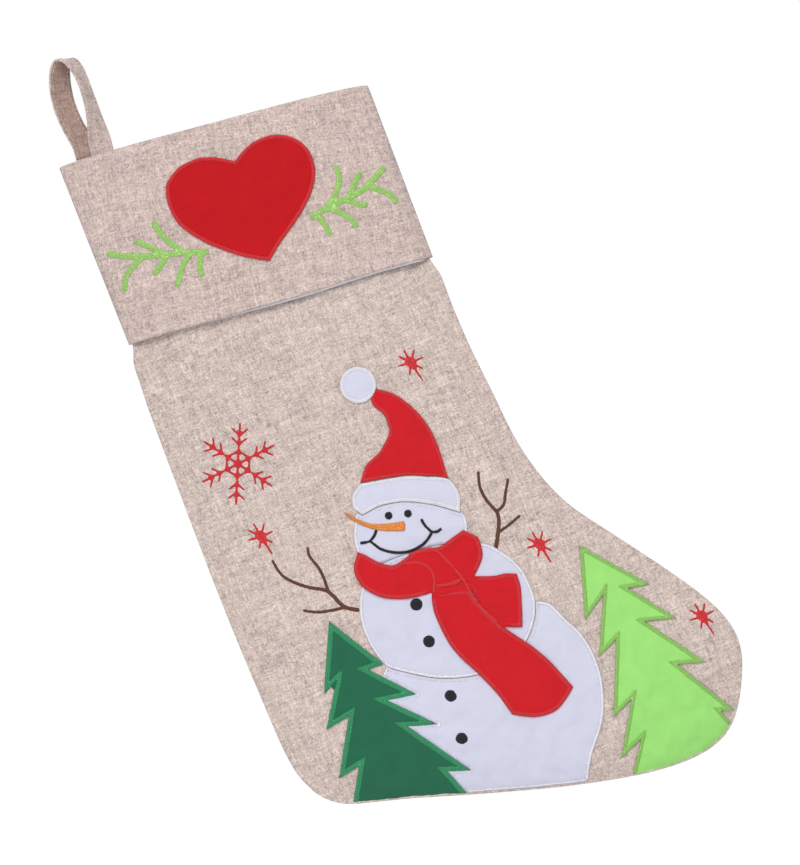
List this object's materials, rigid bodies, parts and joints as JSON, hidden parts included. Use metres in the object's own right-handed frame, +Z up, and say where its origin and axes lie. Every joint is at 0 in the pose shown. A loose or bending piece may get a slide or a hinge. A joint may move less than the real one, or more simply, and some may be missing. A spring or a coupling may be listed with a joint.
{
  "type": "christmas stocking",
  "caption": "Lined boot-shaped hanging stocking with a turned-down cuff, felt snowman, heart and fir-tree patches and a folded hanging loop.",
  "frame": {"origin": "the point inside the top of the hanging loop that rests on the hook", "axes": "+Z up along the leg, +X from the heel side towards the toe, -Y out of the front"},
  "size_m": [0.3325, 0.0265, 0.5227],
  "materials": {
    "linen": "plain weave natural linen, matt",
    "cuff_linen": "plain weave natural linen, matt",
    "pale_lining": "smooth pale lining cloth, matt",
    "red_felt": "felt, matt",
    "white_felt": "felt, matt",
    "dark_green_felt": "felt, matt",
    "light_green_felt": "felt, matt",
    "red_thread": "satin stitch embroidery thread, soft sheen",
    "white_thread": "satin stitch embroidery thread, soft sheen",
    "dark_green_thread": "satin stitch embroidery thread, soft sheen",
    "light_green_thread": "satin stitch embroidery thread, soft sheen",
    "brown_thread": "satin stitch embroidery thread, soft sheen",
    "black_thread": "satin stitch embroidery thread, soft sheen",
    "orange_thread": "satin stitch embroidery thread, soft sheen"
  },
  "bodies": {
    "loop": {"hanging_loop": "cuff_linen"},
    "stocking": {"back_lining": "pale_lining", "back_panel": "linen", "button_1": "black_thread", "button_2": "black_thread", "button_3": "black_thread", "button_4": "black_thread", "cuff_back": "cuff_linen", "cuff_facing_back": "pale_lining", "cuff_facing_front": "pale_lining", "cuff_front": "cuff_linen", "dark_tree": "dark_green_felt", "dark_tree_border": "dark_green_thread", "front_lining": "pale_lining", "front_panel": "linen", "hat": "red_felt", "hat_border": "red_thread", "hat_brim": "white_felt", "hat_brim_border": "white_thread", "heart": "red_felt", "heart_border": "red_thread", "left_arm": "brown_thread", "left_eye": "black_thread", "left_sprig": "light_green_thread", "light_tree": "light_green_felt", "light_tree_border": "light_green_thread", "loop_end_left": "cuff_linen", "loop_end_right": "cuff_linen", "loop_tack": "white_thread", "mouth": "black_thread", "nose": "orange_thread", "pompom": "white_felt", "pompom_border": "white_thread", "right_arm": "brown_thread", "right_eye": "black_thread", "right_sprig": "light_green_thread", "scarf_band": "red_felt", "scarf_band_border": "red_thread", "scarf_long_tail": "red_felt", "scarf_long_tail_border": "red_thread", "scarf_short_tail": "red_felt", "scarf_short_tail_border": "red_thread", "snowflake": "red_thread", "snowman_belly": "white_felt", "snowman_chest": "white_felt", "snowman_head": "white_felt", "star_heel": "red_thread", "star_instep": "red_thread", "star_toe": "red_thread", "star_upper": "red_thread"}
  },
  "joints": [
    {"name": "loop_fold", "type": "hinge", "parent": "loop", "child": "stocking", "pos_m": [0.0038, 0.0006, -0.0563], "axis": [1, 0, 0], "range_deg": [-75, 75]}
  ]
}
